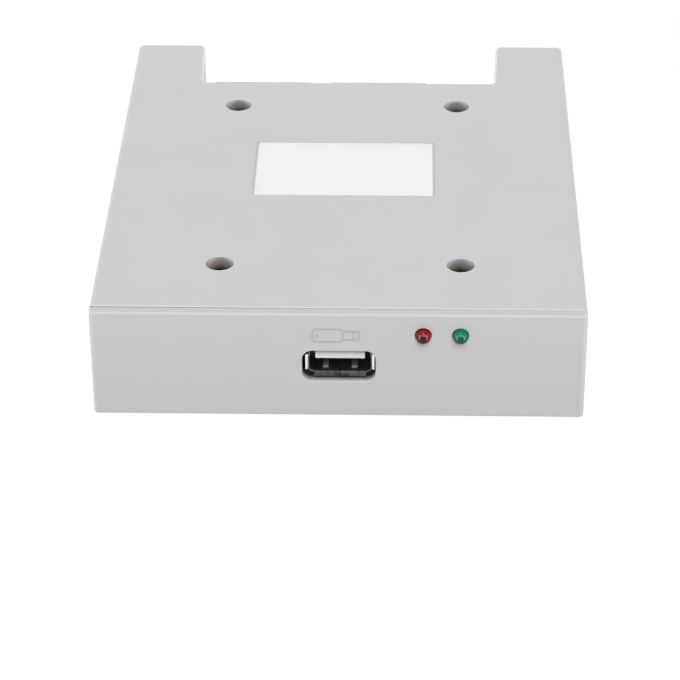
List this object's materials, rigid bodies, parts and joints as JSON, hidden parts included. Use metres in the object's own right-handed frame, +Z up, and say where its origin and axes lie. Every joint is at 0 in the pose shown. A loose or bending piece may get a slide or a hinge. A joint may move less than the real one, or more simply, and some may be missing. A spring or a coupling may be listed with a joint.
{
  "type": "floppy drive emulator",
  "caption": "Flat grey drive-bay unit with a memory stick socket and red and green lamps in front, four screw wells and a label on top, and a connector notch behind.",
  "frame": {"origin": "centre of the case's footprint on its flat bottom face", "axes": "+X right seen from the front, +Y from the front face to the back, +Z up"},
  "size_m": [0.1016, 0.1259, 0.0247],
  "materials": {
    "case_plastic": "finely grained light grey moulded plastic",
    "panel_plastic": "finely grained light grey moulded plastic",
    "label_paper": "bare white satin label",
    "screw_steel": "dark zinc plated",
    "board_laminate": "green solder mask",
    "shell_steel": "nickel plated sheet",
    "white_plastic": "moulded white insulator",
    "contact_gold": "gold flashed",
    "red_lens": "clear red tinted resin",
    "green_lens": "clear green tinted resin",
    "tinned_wire": "tinned",
    "black_plastic": "moulded black plastic with tinned pins",
    "cream_plastic": "moulded natural nylon with tinned pins",
    "blue_plastic": "moulded blue plastic",
    "chip_resin": "moulded black resin",
    "can_metal": "bright drawn can",
    "ceramic": "tan ceramic with tinned ends"
  },
  "bodies": {
    "drive": {"top_cover": "case_plastic", "bottom_cover": "case_plastic", "front_panel": "panel_plastic", "label": "label_paper", "case_screw_front_left": "screw_steel", "case_screw_front_right": "screw_steel", "case_screw_rear_left": "screw_steel", "case_screw_rear_right": "screw_steel", "circuit_board": "board_laminate", "usb_shell": "shell_steel", "usb_insulator": "white_plastic", "usb_contact_1": "contact_gold", "usb_contact_2": "contact_gold", "usb_contact_3": "contact_gold", "usb_contact_4": "contact_gold", "red_lamp": "red_lens", "red_lamp_lead_1": "tinned_wire", "red_lamp_lead_2": "tinned_wire", "green_lamp": "green_lens", "green_lamp_lead_1": "tinned_wire", "green_lamp_lead_2": "tinned_wire", "data_header": "black_plastic", "power_connector": "cream_plastic", "selector_block": "black_plastic", "microcontroller": "chip_resin", "memory_chip": "chip_resin", "bus_driver_1": "chip_resin", "bus_driver_2": "chip_resin", "voltage_regulator": "chip_resin", "crystal": "can_metal", "electrolytic_capacitor_1": "can_metal", "electrolytic_capacitor_2": "can_metal", "resistor_network": "chip_resin", "ceramic_capacitor_1": "ceramic", "ceramic_capacitor_2": "ceramic", "ceramic_capacitor_3": "ceramic", "ceramic_capacitor_4": "ceramic", "chip_resistor_1": "chip_resin", "chip_resistor_2": "chip_resin", "chip_resistor_3": "chip_resin", "chip_resistor_4": "chip_resin"},
    "jumper_cap_1": {"jumper_cap_1": "blue_plastic"},
    "jumper_cap_2": {"jumper_cap_2": "blue_plastic"}
  },
  "joints": [
    {"name": "jumper_cap_1_lift", "type": "slide", "parent": "drive", "child": "jumper_cap_1", "axis": [0, 0, 1], "range_m": [0, 0.01]},
    {"name": "jumper_cap_2_lift", "type": "slide", "parent": "drive", "child": "jumper_cap_2", "axis": [0, 0, 1], "range_m": [0, 0.01]}
  ]
}
